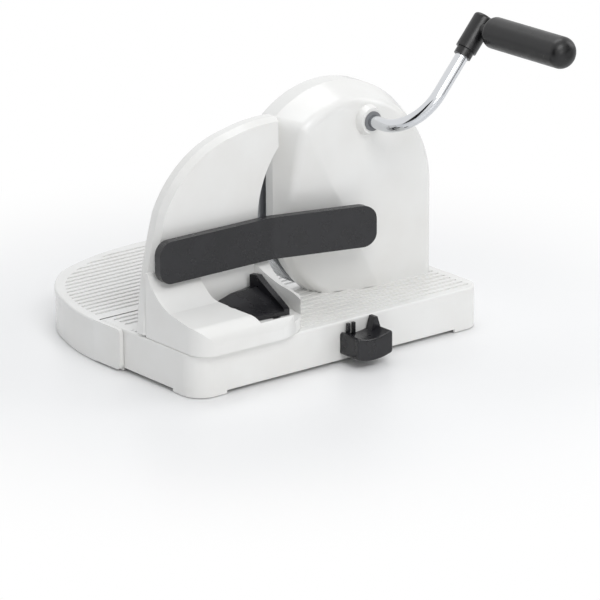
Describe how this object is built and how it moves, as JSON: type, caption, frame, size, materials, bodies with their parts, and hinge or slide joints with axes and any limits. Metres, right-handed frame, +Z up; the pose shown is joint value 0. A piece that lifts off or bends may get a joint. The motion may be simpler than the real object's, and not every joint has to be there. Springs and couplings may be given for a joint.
{
  "type": "bread slicer with crank",
  "caption": "Hand cranked slicer with a round blade, a sliding stop plate with a thumb lever, a folding bread tray and a suction foot.",
  "frame": {"origin": "middle of the suction pad's flat underside, on the table", "axes": "+Z up, +X along the base to the gear housing's end, +Y from the operator through the blade's plane to the bread tray"},
  "size_m": [0.3412, 0.435, 0.3015],
  "materials": {
    "white_shell": "smooth glossy white moulding",
    "facing_steel": "rolled sheet with pressed beads",
    "black_plastic": "glossy black moulding",
    "grip_black": "satin black moulding",
    "grey_plastic": "plain grey moulding",
    "gear_plastic": "natural acetal",
    "blade_steel": "fine circular grinding",
    "chrome": "polished chrome plating",
    "steel": "zinc plated steel",
    "rubber": "soft matt rubber"
  },
  "bodies": {
    "base": {"base_shell": "white_shell", "base_bottom": "white_shell", "base_foot_pads": "rubber", "bottom_screws": "steel", "suction_pad": "rubber", "carriage_rails": "steel", "housing_frame": "white_shell", "housing_cover": "white_shell", "case_screws": "steel", "housing_screws": "steel", "crank_bush": "grey_plastic", "blade_axle": "steel", "idler_pin": "steel"},
    "carriage": {"stop_plate": "white_shell", "plate_facing": "facing_steel", "facing_screws": "steel", "slice_deflector": "black_plastic", "deflector_screws": "steel", "carriage_shoes": "grey_plastic", "shoe_screws": "steel", "lever_pivot": "steel"},
    "thumb_lever": {"thickness_lever": "black_plastic", "follower_pin": "steel"},
    "tray": {"tray": "white_shell", "tray_foot_pads": "rubber", "hinge_pins": "steel"},
    "blade": {"blade": "blade_steel", "blade_carrier": "grey_plastic", "hub_cap": "white_shell", "blade_screws": "steel", "blade_gear": "gear_plastic"},
    "idler": {"idler_gear": "gear_plastic"},
    "crank": {"crank_rod": "chrome", "crank_gear": "gear_plastic", "crank_clip": "steel"},
    "sleeve": {"crank_sleeve": "grip_black", "grip_axle": "steel"},
    "grip": {"grip": "grip_black"},
    "suction_lever": {"suction_knob": "black_plastic", "suction_camshaft": "steel"},
    "plunger": {"suction_plunger": "grey_plastic"}
  },
  "joints": [
    {"name": "carriage_slide", "type": "slide", "parent": "base", "child": "carriage", "axis": [0, -1, 0], "range_m": [-0.014, 0.001]},
    {"name": "lever_turn", "type": "hinge", "parent": "carriage", "child": "thumb_lever", "pos_m": [-0.116, -0.034, 0.052], "axis": [0, 0, 1], "range_deg": [-21.12, 1.52]},
    {"name": "tray_fold", "type": "hinge", "parent": "base", "child": "tray", "pos_m": [-0.016, 0.0634, 0.0241], "axis": [1, 0, 0], "range_deg": [0, 90]},
    {"name": "crank_spin", "type": "hinge", "parent": "base", "child": "crank", "pos_m": [0.06, 0, 0.201], "axis": [0, -1, 0], "continuous": true},
    {"name": "idler_spin", "type": "hinge", "parent": "base", "child": "idler", "pos_m": [0.0643, 0, 0.15721], "axis": [0, -1, 0], "continuous": true},
    {"name": "blade_spin", "type": "hinge", "parent": "base", "child": "blade", "pos_m": [0.042, 0.042, 0.124], "axis": [0, -1, 0], "continuous": true},
    {"name": "sleeve_swivel", "type": "hinge", "parent": "crank", "child": "sleeve", "pos_m": [0.13479, -0.07, 0.28704], "axis": [0.6561, 0, 0.7547], "range_deg": [0, 90]},
    {"name": "grip_spin", "type": "hinge", "parent": "sleeve", "child": "grip", "pos_m": [0.13479, -0.13, 0.28704], "axis": [0, -1, 0], "continuous": true},
    {"name": "suction_turn", "type": "hinge", "parent": "base", "child": "suction_lever", "pos_m": [0, -0.062, 0.02], "axis": [0, -1, 0], "range_deg": [0, 90]},
    {"name": "plunger_lift", "type": "slide", "parent": "base", "child": "plunger", "axis": [0, 0, 1], "range_m": [0, 0.0032]}
  ],
  "couplings": [
    {"joint": "lever_turn", "follows": "carriage_slide", "rad_per_m": 26.316},
    {"joint": "idler_spin", "follows": "crank_spin", "ratio": -0.83333},
    {"joint": "blade_spin", "follows": "crank_spin", "ratio": 1.25},
    {"joint": "plunger_lift", "follows": "suction_turn", "m_per_rad": 0.001981}
  ]
}
